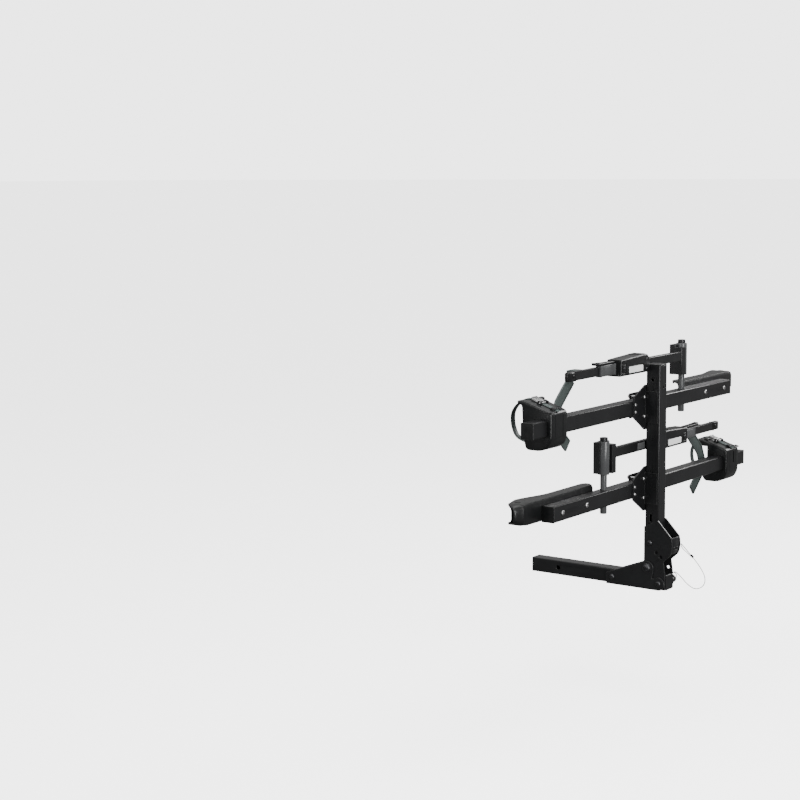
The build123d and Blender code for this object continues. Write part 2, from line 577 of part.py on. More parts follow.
BUCKLE = (61.0, 97.0)      # the lever's ends, along the slope
BUCKLE_LUG = (16.4, 20.4)  # from the strap's middle
BUCKLE_PIN_R = 3.2
buckle_axis = on_slope(BUCKLE[0], 4.6)
TROUGH_FLOOR = 92.0
END_WALL = 8.0
with BuildPart() as basket:
    with BuildSketch(Plane.YZ.offset(BASKET[0])):
        with BuildLine():
            Polyline(BASKET_FRONT, BASKET_CREST, (138, 79), (138, 69), (122, 66), (118, -20),
                     (108, -71), (55, -71), (28, -60), (15, -36), close=True)
        make_face()
    extrude(amount=BASKET[1] - BASKET[0])
    fillet(basket.edges().filter_by(Axis.X), 4)
    fillet(basket.faces().filter_by(Axis.X).edges(), 2)
    block(BASKET[0] - 20, BASKET[1] + 20, y0 - SLIDE_GAP, y1 + SLIDE_GAP,
          -h - SLIDE_GAP, h + SLIDE_GAP, Mode.SUBTRACT)
    # the wheel's trough is open at the back and at the inner end
    block(BASKET[0] - 20, BASKET[1] - END_WALL, TROUGH_FLOOR, 150, -46, 56, Mode.SUBTRACT)
    slope_block(STRAP_U - 13, STRAP_U + 13, BUCKLE[0] - 6, BUCKLE[1] + 2, -6, 0.2)
    for s in (-1, 1):
        near, far = STRAP_U + s * BUCKLE_LUG[0], STRAP_U + s * BUCKLE_LUG[1]
        slope_block(near, far, BUCKLE[0] - 6, BUCKLE[0] + 6, -4, 9.5)
        rod_x(BUCKLE_PIN_R + RUNNING, near, far, *buckle_axis, Mode.SUBTRACT)
tray_set["basket"] = basket

with BuildPart() as wheel_strap:
    with BuildLine(Plane.YZ.offset(STRAP_U)) as strap_line:
        loop = ThreePointArc((132, 74), (178, 34), (172, -22))
        turn = TangentArc(loop @ 1, (148, -46), tangent=loop % 1)
        TangentArc(turn @ 1, (100, -56), tangent=turn % 1)
    strap_path = strap_line.wires()[0]
    with BuildSketch(Plane(strap_path @ 0, x_dir=(1, 0, 0), z_dir=strap_path % 0)):
        Rectangle(24, 3)
    sweep(path=strap_path)
tray_set["wheel_strap"] = wheel_strap

with BuildPart() as buckle_lever:
    slope_block(STRAP_U - 16, STRAP_U + 16, *BUCKLE, 0.7, 9)
    rod_x(BUCKLE_PIN_R, STRAP_U - BUCKLE_LUG[1], STRAP_U + BUCKLE_LUG[1], *buckle_axis)
tray_set["buckle_lever"] = buckle_lever
print("buckle axis", [round(c, 2) for c in buckle_axis])

for side, post_x, level, mirrored in SIDES:
    for name, piece in tray_set.items():
        placed = piece.part.mirror(Plane.YZ) if mirrored else piece.part
        placed = placed.moved(Location((post_x, MAST_Y, level)))
        placed.label = f"{side}_{name}"
        export_step(placed, f"parts/{side}_{name}.step")

# --- fasteners and caps that both trays share --------------------------------------------------
with BuildPart() as cradle_bolts:
    for side, post_x, level, mirrored in SIDES:
        arm = -1 if mirrored else 1
        for u in CRADLE_BOLTS:
            x = post_x + arm * u
            rod_y(4.0, x, MAST_Y + y0, MAST_Y + y1 + 5, level)
            rod_y(8.0, x, MAST_Y + y0 - 3.5, MAST_Y + y0, level)
            rod_y(7.0, x, MAST_Y + y1 + 5, MAST_Y + y1 + 9, level)
cradle_bolts.part.label = "cradle_bolts"
export_step(cradle_bolts.part, "parts/cradle_bolts.step")

with BuildPart() as post_caps:
    for side, post_x, level, mirrored in SIDES:
        rod_z(13.0, post_x, MAST_Y + POST_Y, level + SLEEVE[1] + 0.3, level + 196)
    fillet(post_caps.faces().filter_by(Axis.Z).edges(), 1.5)
post_caps.part.label = "post_caps"
export_step(post_caps.part, "parts/post_caps.step")

with BuildPart() as tray_end_caps:
    for side, post_x, level, mirrored in SIDES:
        arm = -1 if mirrored else 1
        for end, inward in ((CRADLE_END, 1), (BASKET_END, -1)):
            x, into = post_x + arm * end, arm * inward
            block(x, x + into * CAP, MAST_Y + y0, MAST_Y + y1, level - h, level + h)
            block(x + into * CAP, x + into * 18, MAST_Y + y0 + TRAY_WALL + 0.2,
                  MAST_Y + y1 - TRAY_WALL - 0.2, level - h + TRAY_WALL + 0.2, level + h - TRAY_WALL - 0.2)
tray_end_caps.part.label = "tray_end_caps"
export_step(tray_end_caps.part, "parts/tray_end_caps.step")
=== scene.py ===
"""Hitch mounted bike rack, folded upright: looks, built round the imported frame."""
import json
import math

import bmesh
import bpy
from mathutils import Matrix, Vector


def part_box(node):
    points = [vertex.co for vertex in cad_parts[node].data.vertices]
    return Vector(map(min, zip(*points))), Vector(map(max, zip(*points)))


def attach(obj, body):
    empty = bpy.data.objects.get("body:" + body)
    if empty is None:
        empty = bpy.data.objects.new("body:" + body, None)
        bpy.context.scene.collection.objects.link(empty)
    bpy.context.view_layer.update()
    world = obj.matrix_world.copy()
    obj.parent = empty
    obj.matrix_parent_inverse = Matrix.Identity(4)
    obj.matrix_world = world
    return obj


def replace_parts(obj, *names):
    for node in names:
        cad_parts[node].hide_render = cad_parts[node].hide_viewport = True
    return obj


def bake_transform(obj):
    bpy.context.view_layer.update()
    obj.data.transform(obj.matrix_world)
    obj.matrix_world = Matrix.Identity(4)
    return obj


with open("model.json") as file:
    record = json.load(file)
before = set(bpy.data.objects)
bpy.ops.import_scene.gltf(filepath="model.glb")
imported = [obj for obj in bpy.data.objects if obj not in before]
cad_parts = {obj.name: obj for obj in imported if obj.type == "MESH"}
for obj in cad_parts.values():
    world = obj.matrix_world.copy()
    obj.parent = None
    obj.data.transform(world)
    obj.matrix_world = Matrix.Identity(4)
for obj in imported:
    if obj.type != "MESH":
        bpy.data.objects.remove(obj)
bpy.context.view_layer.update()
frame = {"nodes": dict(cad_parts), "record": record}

MM = 0.001
MAST_Y = sum(c[1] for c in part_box("mast_tube")) / 2


def middle(node, axis):
    """The middle of a CAD node's box along one axis."""
    low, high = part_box(node)
    return (low[axis] + high[axis]) / 2


# side: X of the arm post, Z of the tray centre, direction of the arm
SIDES = {
    "upper": (middle("upper_arm_post", 0), middle("upper_tray", 2), -1),
    "lower": (middle("lower_arm_post", 0), middle("lower_tray", 2), 1),
}


def world_mm(x, y, z):
    """A point given in millimetres from the hitch pin, with y from the mast axis."""
    return Vector((x * MM, MAST_Y + y * MM, z * MM))


def tray_place(side):
    """Maps (u, v, w) in millimetres to the row frame: u along the arm from its post,
    v from the mast axis towards the vehicle, w up from the tray centre."""
    post_x, level, way = SIDES[side]
    return lambda u, v, w: Vector((post_x + way * u * MM, MAST_Y + v * MM, level + w * MM))


# --- materials -----------------------------------------------------------------------------
class Nodes:
    """A small writer of node trees."""

    def __init__(self, name):
        self.mat = bpy.data.materials.new(name)
        self.mat.use_nodes = True
        self.tree = self.mat.node_tree
        self.bsdf = self.tree.nodes["Principled BSDF"]
        self.coords = self.tree.nodes.new("ShaderNodeTexCoord").outputs["Object"]

    def link(self, value, socket):
        if isinstance(value, bpy.types.NodeSocket):
            self.tree.links.new(value, socket)
        else:
            socket.default_value = value

    def noise(self, scale, detail=3.0, roughness=0.5, stretch=(1, 1, 1), seed=(0, 0, 0)):
        mapping = self.tree.nodes.new("ShaderNodeMapping")
        mapping.inputs["Scale"].default_value = stretch
        mapping.inputs["Location"].default_value = seed
        self.link(self.coords, mapping.inputs["Vector"])
        node = self.tree.nodes.new("ShaderNodeTexNoise")
        node.inputs["Scale"].default_value = scale
        node.inputs["Detail"].default_value = detail
        node.inputs["Roughness"].default_value = roughness
        self.link(mapping.outputs["Vector"], node.inputs["Vector"])
        return node.outputs["Fac"]

    def cells(self, scale):
        node = self.tree.nodes.new("ShaderNodeTexVoronoi")
        node.inputs["Scale"].default_value = scale
        self.link(self.coords, node.inputs["Vector"])
        return node.outputs["Distance"]

    def ramp(self, value, stops):
        node = self.tree.nodes.new("ShaderNodeValToRGB")
        while len(node.color_ramp.elements) < len(stops):
            node.color_ramp.elements.new(0.5)
        for element, (place, colour) in zip(node.color_ramp.elements, stops):
            element.position = place
            element.color = (*colour, 1) if hasattr(colour, "__len__") else (colour,) * 3 + (1,)
        self.link(value, node.inputs["Fac"])
        return node.outputs["Color"]

    def mix(self, factor, a, b):
        node = self.tree.nodes.new("ShaderNodeMix")
        node.data_type = "RGBA"
        for value, socket in ((factor, node.inputs[0]), (a, node.inputs[6]), (b, node.inputs[7])):
            if hasattr(value, "__len__") and len(value) == 3:
                value = (*value, 1)
            self.link(value, socket)
        return node.outputs[2]

    def maths(self, what, a, b):
        node = self.tree.nodes.new("ShaderNodeMath")
        node.operation = what
        self.link(a, node.inputs[0])
        self.link(b, node.inputs[1])
        return node.outputs[0]

    def edges(self, radius):
        """1 near a convex or concave edge, 0 on a flat face."""
        bevel = self.tree.nodes.new("ShaderNodeBevel")
        bevel.samples = 4
        bevel.inputs["Radius"].default_value = radius
        geometry = self.tree.nodes.new("ShaderNodeNewGeometry")
        dot = self.tree.nodes.new("ShaderNodeVectorMath")
        dot.operation = "DOT_PRODUCT"
        self.link(bevel.outputs["Normal"], dot.inputs[0])
        self.link(geometry.outputs["Normal"], dot.inputs[1])
        return self.ramp(dot.outputs["Value"], ((0.80, 1.0), (0.985, 0.0)))

    def bump(self, height, strength, distance):
        node = self.tree.nodes.new("ShaderNodeBump")
        node.inputs["Strength"].default_value = strength
        node.inputs["Distance"].default_value = distance
        self.link(height, node.inputs["Height"])
        self.link(node.outputs["Normal"], self.bsdf.inputs["Normal"])

    def surface(self, colour, roughness, metallic=0.0, specular=0.5, coat=0.0, coat_rough=0.3):
        self.link((*colour, 1) if isinstance(colour, tuple) else colour, self.bsdf.inputs["Base Color"])
        self.link(roughness, self.bsdf.inputs["Roughness"])
        self.bsdf.inputs["Metallic"].default_value = metallic
        self.bsdf.inputs["Specular IOR Level"].default_value = specular
        self.bsdf.inputs["Coat Weight"].default_value = coat
        self.bsdf.inputs["Coat Roughness"].default_value = coat_rough
        return self.mat


def powder_coat(name, shade, rough, wear_and_highlight=0.085):
    """Fine orange peel with dust, and paint that is paler along the edges, partly from wear and partly a
    painted highlight.
    """
    n = Nodes(name)
    dust = n.ramp(n.noise(9, 5, 0.6), ((0.35, shade), (0.75, tuple(c * 1.3 + 0.001 for c in shade))))
    n.bump(n.noise(620, 2, 0.5), 0.05, 0.0002)
    fine = n.ramp(n.noise(40, 4, 0.6, seed=(3, 1, 2)), ((0.3, rough - 0.05), (0.7, rough + 0.07)))
    # the edge mask lifts the paint to a paler tone on the rims: part edge wear, part painted highlight
    edge = n.maths("MULTIPLY", n.edges(0.0022), n.noise(120, 3, 0.6))
    return n.surface(n.mix(edge, dust, (wear_and_highlight,) * 3), fine, specular=0.26)


def moulded(name, shade, rough=0.5, grain=900, depth=0.0003, specular=0.22):
    """Grained plastic or rubber."""
    n = Nodes(name)
    tone = n.ramp(n.noise(14, 4, 0.55), ((0.3, shade), (0.75, tuple(c * 1.3 + 0.001 for c in shade))))
    n.bump(n.mix(0.5, n.noise(grain, 3, 0.6), n.cells(grain * 0.8)), 0.35, depth)
    fine = n.ramp(n.noise(60, 3, 0.5, seed=(1, 5, 2)), ((0.3, rough - 0.05), (0.7, rough + 0.06)))
    return n.surface(tone, fine, specular=specular)


def zinc(name, shade, rough):
    """Plated steel with drawn marks and a patchy tone."""
    n = Nodes(name)
    tone = n.ramp(n.noise(70, 5, 0.7), ((0.3, tuple(c * 0.8 for c in shade)), (0.7, shade)))
    n.bump(n.noise(500, 4, 0.6, stretch=(1, 1, 6)), 0.12, 0.0003)
    fine = n.ramp(n.noise(110, 4, 0.6, seed=(2, 2, 7)), ((0.3, rough - 0.06), (0.7, rough + 0.08)))
    return n.surface(tone, fine, metallic=1.0)


def label_stock():
    n = Nodes("label_stock")
    tone = n.ramp(n.noise(30, 4, 0.6), ((0.3, (0.60, 0.61, 0.61)), (0.75, (0.70, 0.70, 0.69))))
    n.bump(n.noise(400, 2, 0.5), 0.1, 0.0002)
    return n.surface(tone, 0.42, coat=0.2)


def wire_rope():
    n = Nodes("wire_rope")
    tone = n.ramp(n.noise(300, 4, 0.6), ((0.3, (0.016, 0.016, 0.016)), (0.7, (0.030, 0.030, 0.030))))
    n.bump(n.noise(900, 2, 0.5), 0.2, 0.0002)
    return n.surface(tone, 0.46, specular=0.2)


MATERIALS = {
    "powder_coat": powder_coat("powder_coat", (0.0050, 0.0051, 0.0055), 0.31),
    "satin_black_steel": powder_coat("satin_black_steel", (0.040, 0.041, 0.042), 0.24),
    "black_plastic": moulded("black_plastic", (0.0036, 0.0038, 0.0040), 0.33),
    "grey_plastic": moulded("grey_plastic", (0.040, 0.041, 0.042), 0.40),
    "label_white": label_stock(),
    "hook_rubber": moulded("hook_rubber", (0.034, 0.042, 0.040), 0.48, 700, 0.0003),
    "strap_rubber": moulded("strap_rubber", (0.036, 0.046, 0.044), 0.42, 800, 0.0002),
    "bolt_steel": zinc("bolt_steel", (0.36, 0.36, 0.36), 0.36),
    "black_bolts": zinc("black_bolts", (0.060, 0.060, 0.063), 0.34),
    "lanyard_wire": wire_rope(),
}
SLOT_OF = {s["node"]: s["material_slot"] for s in frame["record"]["subparts"]}


# --- mesh helpers ----------------------------------------------------------------------------
FLAT_ANGLE = 32


def smooth(obj, angle=40):
    """Smooth shading with crisp corners over an angle."""
    for polygon in obj.data.polygons:
        polygon.use_smooth = True
    mesh = bmesh.new()
    mesh.from_mesh(obj.data)
    for edge in mesh.edges:
        edge.smooth = edge.calc_face_angle(math.pi) < math.radians(angle)
    mesh.to_mesh(obj.data)
    mesh.free()


def bevelled(obj, width_mm):
    """Rounds the edges over 35 degrees of a CAD node."""
    modifier = obj.modifiers.new("round_edges", "BEVEL")
    modifier.width = width_mm * MM
    modifier.segments = 2
    modifier.limit_method = "ANGLE"
    modifier.angle_limit = math.radians(35)
    modifier.harden_normals = True


def piece(name, mesh_data, slot, body, angle=40):
    """A visible object with its material, which rides on a body."""
    obj = bpy.data.objects.new(name, mesh_data)
    bpy.context.scene.collection.objects.link(obj)
    smooth(obj, angle)
    obj.data.materials.append(MATERIALS[slot])
    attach(obj, body)
    return obj


def from_bmesh(name, mesh):
    """Closes a bmesh into mesh data, welded and with its faces outwards."""
    bmesh.ops.remove_doubles(mesh, verts=mesh.verts, dist=1e-6)
    bmesh.ops.recalc_face_normals(mesh, faces=mesh.faces)
    data = bpy.data.meshes.new(name)
    mesh.to_mesh(data)
    mesh.free()
    return data


def add_loft(mesh, rings):
    """Joins rings of points with the same count into a skin with closed ends."""
    rows = [[mesh.verts.new(p) for p in ring] for ring in rings]
    for a, b in zip(rows, rows[1:]):
        for i in range(len(a)):
            j = (i + 1) % len(a)
            mesh.faces.new((a[i], a[j], b[j], b[i]))
    mesh.faces.new(rows[0][::-1])
    mesh.faces.new(rows[-1])


def add_box(mesh, place, u0, u1, v0, v1, w0, w1, r=1.5):
    """A box with rounded long edges and chamfered ends, between limits in millimetres."""
    r = min(r, abs(u1 - u0) * 0.45, abs(v1 - v0) * 0.45, abs(w1 - w0) * 0.45)
    rings = []
    near_end = ((u0, r), (u0 + 0.3 * r, 0.3 * r), (u0 + r, 0))
    far_end = ((u1 - r, 0), (u1 - 0.3 * r, 0.3 * r), (u1, r))
    for u, inset in near_end + far_end:
        section = rounded_box(v0 + inset, v1 - inset, w0 + inset, w1 - inset, max(r - inset * 0.5, 0.2))
        rings.append([place(u, v, w) for v, w in section])
    add_loft(mesh, rings)


def rounded_box(a0, a1, b0, b1, r, steps=3):
    """The outline of a rectangle with rounded corners."""
    r = min(r, (a1 - a0) / 2 - 1e-3, (b1 - b0) / 2 - 1e-3)
    points = []
    corners = ((a1 - r, b1 - r, 0), (a0 + r, b1 - r, 90), (a0 + r, b0 + r, 180), (a1 - r, b0 + r, 270))
    for ca, cb, start in corners:
        for k in range(steps + 1):
            t = math.radians(start + 90 * k / steps)
            points.append((ca + r * math.cos(t), cb + r * math.sin(t)))
    return points


def rounded_outline(points, radius, steps=4):
    """A polygon with its corners rounded; radius is one number or one per corner."""
    out = []
    count = len(points)
    for i, b in enumerate(points):
        r = radius[i] if hasattr(radius, "__len__") else radius
        a, c = Vector(points[i - 1]), Vector(points[(i + 1) % count])
        b = Vector(b)
        before, after = (a - b), (c - b)
        reach = min(r, before.length * 0.48, after.length * 0.48)
        if reach < 0.05:
            out.append(tuple(b))
            continue
        start, end = b + before.normalized() * reach, b + after.normalized() * reach
        for k in range(steps + 1):
            t = k / steps
            out.append(tuple((1 - t) ** 2 * start + 2 * t * (1 - t) * b + t * t * end))
    return out


def profile(name, loops, low, high, place, slot, body, edge=1.5, rounds=2):
    """Outlines filled and extruded between two levels with rounded rims. place maps
    (a, b, level) to the row frame, where a and b are the outline's own coordinates."""
    curve = bpy.data.curves.new(name, "CURVE")
    curve.dimensions = "2D"
    curve.fill_mode = "BOTH"
    curve.extrude = (high - low) / 2 - edge
    curve.bevel_depth = edge
    curve.bevel_resolution = rounds
    curve.offset = -edge
    for loop in loops:
        spline = curve.splines.new("POLY")
        spline.points.add(len(loop) - 1)
        for point, (a, b) in zip(spline.points, loop):
            point.co = (a, b, 0, 1)
        spline.use_cyclic_u = True
    holder = bpy.data.objects.new(name, curve)
    bpy.context.scene.collection.objects.link(holder)
    bpy.context.view_layer.update()
    data = bpy.data.meshes.new_from_object(holder.evaluated_get(bpy.context.evaluated_depsgraph_get()))
    bpy.data.objects.remove(holder)
    for vertex in data.vertices:
        vertex.co = place(vertex.co.x, vertex.co.y, vertex.co.z + (low + high) / 2)
    mesh = bmesh.new()
    mesh.from_mesh(data)
    bpy.data.meshes.remove(data)
    bpy.data.curves.remove(curve)
    return piece(name, from_bmesh(name, mesh), slot, body, FLAT_ANGLE)


def add_turned(mesh, place, outline, sides=28, facets=None):
    """A turned shape: outline is (distance along the axis, radius) from one end to the other.
    facets gives the first and last outline point that are hexagonal."""
    rings = []
    for k, (along, radius) in enumerate(outline):
        ring = []
        for i in range(sides):
            t = 2 * math.pi * i / sides
            r = radius
            if facets and facets[0] <= k <= facets[1]:
                r = radius * math.cos(math.pi / 6) / math.cos((t + math.pi / 6) % (math.pi / 3) - math.pi / 6)
            ring.append(place(along, r * math.cos(t), r * math.sin(t)))
        rings.append(ring)
    add_loft(mesh, rings)


def smooth_line(points, per=8):
    """Points of a Catmull-Rom curve through the given ones."""
    ends = [points[0]] + list(points) + [points[-1]]
    out = []
    for a, b, c, d in zip(ends, ends[1:], ends[2:], ends[3:]):
        for k in range(per):
            t = k / per
            out.append(tuple(
                0.5 * (2 * q + (r - p) * t + (2 * p - 5 * q + 4 * r - w) * t * t
                       + (3 * q - p - 3 * r + w) * t ** 3)
                for p, q, r, w in zip(a, b, c, d)))
    return out + [tuple(points[-1])]


def band(line, half, corner):
    """The outline of a strip of constant width along a polyline, with rounded corners."""
    points = [Vector(p) for p in line]
    left, right = [], []
    for i, p in enumerate(points):
        before = (p - points[i - 1]).normalized() if i else None
        after = (points[i + 1] - p).normalized() if i + 1 < len(points) else None
        along = ((before or after) + (after or before)).normalized()
        across = Vector((-along.y, along.x))
        reach = half / max(across.dot(Vector((-(after or before).y, (after or before).x))), 0.5)
        left.append(tuple(p + across * reach))
        right.append(tuple(p - across * reach))
    bends = [4] + [corner] * (len(points) - 2) + [4]
    return rounded_outline(left + right[::-1], bends * 2)


def carve(obj, boxes, place):
    """Cuts boxes (u0, u1, v0, v1, w0, w1) in millimetres out of a piece."""
    cutter_mesh = bmesh.new()
    for box in boxes:
        add_box(cutter_mesh, place, *box, r=1.2)
    cutter = bpy.data.objects.new("cutter", from_bmesh("cutter", cutter_mesh))
    bpy.context.scene.collection.objects.link(cutter)
    cut = obj.modifiers.new("cut", "BOOLEAN")
    cut.operation = "DIFFERENCE"
    cut.solver = "EXACT"
    cut.object = cutter
    bpy.context.view_layer.update()
    data = bpy.data.meshes.new_from_object(obj.evaluated_get(bpy.context.evaluated_depsgraph_get()))
    obj.modifiers.clear()
    obj.data = data
    bpy.data.objects.remove(cutter)
    smooth(obj, FLAT_ANGLE)


# a button head with its socket, as parts of its height and radius
DOME = [(0.30, 1.0), (0.62, 0.90), (0.86, 0.70), (1.0, 0.46), (0.98, 0.40), (0.45, 0.37)]


def add_bolt(mesh, place, head, height, washer=0.0, domed=False):
    """A fastener head on a face: place(along, b, c) goes out from the face."""
    start = 0.0
    if washer:
        start = 1.6
        add_turned(mesh, place, [(-0.4, washer), (start - 0.4, washer), (start, washer - 0.5)])
    if domed:
        rise = height - start
        outline = [(start + a * rise, r * head) for a, r in DOME]
        add_turned(mesh, place, [(start - 0.3, head)] + outline)
        return
    add_turned(mesh, place, [
        (start - 0.3, head), (height - 0.9, head), (height, head * 0.86), (height, head * 0.6)],
        sides=36, facets=(0, 1))


def add_nut(mesh, place, size, height, thread, washer=0.0):
    """A nut with the rounded end of its bolt."""
    add_bolt(mesh, place, size, height, washer)
    add_turned(mesh, place, [(0, thread), (height + 1.6, thread), (height + 2.4, thread * 0.75)], sides=20)


# --- CAD nodes: materials and rounded rims ---------------------------------------------------
# radius of the rounded rims in millimetres, by material slot
RIMS = {
    "powder_coat": 0.9, "satin_black_steel": 0.8, "black_plastic": 1.0, "grey_plastic": 0.8,
    "bolt_steel": 0.5, "black_bolts": 0.6,
}
WELD_REACH = 1e-5
for name, node in frame["nodes"].items():
    slot = SLOT_OF[name]
    node.data.materials.clear()
    node.data.materials.append(MATERIALS[slot])
    if slot in RIMS:
        weld = node.modifiers.new("weld", "WELD")
        weld.merge_threshold = WELD_REACH
        bevelled(node, RIMS[slot])


# --- wheel baskets -----------------------------------------------------------------------------
BASKET_END = (819.0, 916.0)
BASKET_FRONT = (15.0, 49.0)
BASKET_CREST = (108.0, 80.0)
BASKET_ROUNDING = 6.5
SLOPE = math.atan2(BASKET_CREST[1] - BASKET_FRONT[1], BASKET_CREST[0] - BASKET_FRONT[0])
# the basket seen from its end: (v, w) of each corner and its radius
BASKET_OUTLINE = [
    (BASKET_FRONT, 12), (BASKET_CREST, 14), ((138, 79), 3), ((138, 69), 3), ((122, 66), 8),
    ((118, -20), 20), ((108, -71), 16), ((55, -71), 26), ((28, -60), 24), ((15, -36), 22),
]
TRAY_PASSAGE = (790, 940, 29.6, 74.4, -25.8, 25.8)
WHEEL_TROUGH = (790, 908, 92, 160, -46, 56)
FRONT_GROOVES = [(845, 848, 5, 16.2, -34, 44), (890, 892, 5, 16.0, -30, 40)]
LOWER_SLOT = (873, 880, 5, 22, -2, 38)
TROUGH_RIBS = (-36, -18, 0, 18, 36)

STRAP_U = 871.5
TAIL_STEP, TAIL_HEIGHT = 12.25, 1.9
TAIL_WIDTH, TAIL_THICK = 22, 2.4
LOOP_WIDTH, LOOP_THICK = 24, 3.0
STRAP_LOOP = [
    (112, 80.6), (126, 80.2), (146, 71), (165, 56), (178, 34), (179.5, 5), (172, -22),
    (162, -37), (148, -46), (124, -53.5), (104, -56),
]
TOOTH_PITCH = 5.0
TOOTH_SINK, TOOTH_RISE = 0.2, 1.3
BUCKLE_AXIS = (71.42, 72.65)
PIN_OUTLINE = [(-20.6, 2.0), (-20.2, 3.1), (20.2, 3.1), (20.6, 2.0)]


def on_slope(along, above):
    """(v, w) of a point on a basket's sloping top, from its front edge."""
    return (BASKET_FRONT[0] + along * math.cos(SLOPE) - above * math.sin(SLOPE),
            BASKET_FRONT[1] + along * math.sin(SLOPE) + above * math.cos(SLOPE))


def slope_place(side):
    """Maps (u, distance up the slope, height above it) in millimetres to the row frame."""
    place = tray_place(side)
    return lambda u, along, above: place(u, *on_slope(along, above))


def facing_out(place, u, v, w):
    """A placer for a fastener on a face that looks away from the vehicle."""
    return lambda a, b, c: place(u + b, v - a, w + c)


def add_strap(mesh, place, line, width, thick):
    """A ladder strap along (v, w) points at the strap's own place along the tray."""
    points = [Vector(p) for p in line]
    rings = []
    run = 0.0
    for i, p in enumerate(points):
        along = (points[min(i + 1, len(points) - 1)] - points[max(i - 1, 0)]).normalized()
        out = Vector((-along.y, along.x))
        section = rounded_box(-width / 2, width / 2, -thick / 2, thick / 2, thick * 0.4, 2)
        rings.append([place(STRAP_U + a, *(p + out * b)) for a, b in section])
        run += (p - points[i - 1]).length if i else 0.0
        if run >= TOOTH_PITCH:
            run = 0.0
            low, high = thick / 2 - TOOTH_SINK, thick / 2 + TOOTH_RISE
            rows = []
            for reach, height in ((-1.7, low), (-0.5, high), (0.7, high), (1.0, low)):
                centre = p + along * reach + out * height
                rows.append([place(STRAP_U + a, *centre) for a in (-width * 0.3, width * 0.3)])
            add_loft(mesh, [[row[0] for row in rows], [row[1] for row in rows]])
    add_loft(mesh, rings)


def wheel_basket(side):
    """The moulded basket, open where the tray passes and where the wheel sits."""
    place = tray_place(side)
    corners = [p for p, r in BASKET_OUTLINE]
    radii = [r for p, r in BASKET_OUTLINE]
    basket = profile(
        f"{side}_wheel_basket", [rounded_outline(corners, radii, 6)], *BASKET_END,
        lambda v, w, u: place(u, v, w), "black_plastic", f"{side}_basket_group",
        edge=BASKET_ROUNDING, rounds=4)
    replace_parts(basket, f"{side}_basket")
    cuts = [TRAY_PASSAGE, WHEEL_TROUGH] + FRONT_GROOVES
    carve(basket, cuts + ([LOWER_SLOT] if side == "lower" else []), place)


def basket_fittings(side):
    """Lugs, a strap bridge and a lip on the sloping top, and ribs in the trough."""
    place, slope = tray_place(side), slope_place(side)
    mesh = bmesh.new()
    for s in (-1, 1):
        add_box(mesh, slope, STRAP_U + s * 16.4, STRAP_U + s * 20.4, 53, 69, -4, 10.5, r=1.6)
        add_box(mesh, slope, STRAP_U + s * 13.5, STRAP_U + s * 17.5, 6, 22, -3, 6.5, r=1.4)
    add_box(mesh, slope, STRAP_U - 17, STRAP_U + 17, 8, 20, 5.2, 8, r=1.2)
    add_box(mesh, slope, 884, 925, 1, 16, -2.2, 1.2, r=1.1)
    add_box(mesh, slope, 822, 850, 84, 97, -3, 6.5, r=3)
    for w in TROUGH_RIBS:
        add_box(mesh, place, 824, 908, 90, 94.5, w - 1.5, w + 1.5, r=1)
    piece(f"{side}_basket_fittings", from_bmesh("fittings", mesh), "black_plastic",
          f"{side}_basket_group")


def ladder_strap(side):
    """The strap's tail up the sloping top, and its loop over the wheel to the basket's foot."""
    place = tray_place(side)
    mesh = bmesh.new()
    tail_line = [on_slope(TAIL_STEP * k, TAIL_HEIGHT) for k in range(9)]
    add_strap(mesh, place, tail_line, TAIL_WIDTH, TAIL_THICK)
    add_strap(mesh, place, smooth_line(STRAP_LOOP), LOOP_WIDTH, LOOP_THICK)
    strap = piece(f"{side}_ladder_strap", from_bmesh("strap", mesh), "strap_rubber",
                  f"{side}_basket_group", 30)
    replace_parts(strap, f"{side}_wheel_strap")


def buckle(side):
    """A lever with side rails, a thumb lip and grip bars, on its pin."""
    place, slope = tray_place(side), slope_place(side)
    mesh = bmesh.new()
    for s in (-1, 1):
        add_box(mesh, slope, STRAP_U + s * 12.2, STRAP_U + s * 15.6, 61, 95, 0.9, 8.8, r=1.2)
    add_box(mesh, slope, STRAP_U - 14, STRAP_U + 14, 66, 96, 5.6, 8.6, r=1.2)
    add_box(mesh, slope, STRAP_U - 15, STRAP_U + 15, 92, 97, 6.5, 11.2, r=1.4)
    for k in range(4):
        add_box(mesh, slope, STRAP_U - 10, STRAP_U + 10, 70 + 5 * k, 72.4 + 5 * k, 8.0, 9.7, r=0.7)
    pin_v, pin_w = BUCKLE_AXIS
    add_turned(mesh, lambda a, b, c: place(STRAP_U + a, pin_v + b, pin_w + c), PIN_OUTLINE, 20)
    lever = piece(f"{side}_buckle", from_bmesh("buckle", mesh), "bolt_steel", f"{side}_buckle")
    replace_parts(lever, f"{side}_buckle_lever")


for side in SIDES:
    wheel_basket(side)
    basket_fittings(side)
    ladder_strap(side)
    buckle(side)


# --- wheel cradles -----------------------------------------------------------------------------
# the trough along the tray, as (u, value): levels in v of its rim and floor, and its half width
RIM_LINE = [(-30, 101), (-46, 110), (-250, 110), (-400, 136), (-440, 132), (-462, 108)]
FLOOR_IN = [(-30, 79), (-375, 79), (-430, 90), (-452, 116), (-462, 104)]
FLOOR_OUT = [(-30, 74.2), (-350, 74.2), (-440, 75), (-462, 96)]
HALF_WIDTH = [(-30, 37.0), (-400, 37.0), (-440, 33), (-462, 24)]
STATIONS = [
    -30, -31, -36, -46, -70, -110, -150, -190, -230, -250, -280, -310, -340, -365, -385, -400,
    -412, -424, -434, -442, -449, -455, -459, -462,
]
CRADLE_MID = 10.5
WALL, LIP = 5.0, 7.5
END_INSET = 2.0
LEAST_FLOOR = 1.5
CLEATS, CLEAT_PITCH = 9, 36


def between(table, u):
    """Smooth value at u from (u, value) pairs in falling order of u."""
    for (ua, a), (ub, b) in zip(table, table[1:]):
        if u >= ub:
            t = (ua - u) / (ua - ub)
            t = t * t * (3 - 2 * t)
            return a + (b - a) * t
    return table[-1][1]


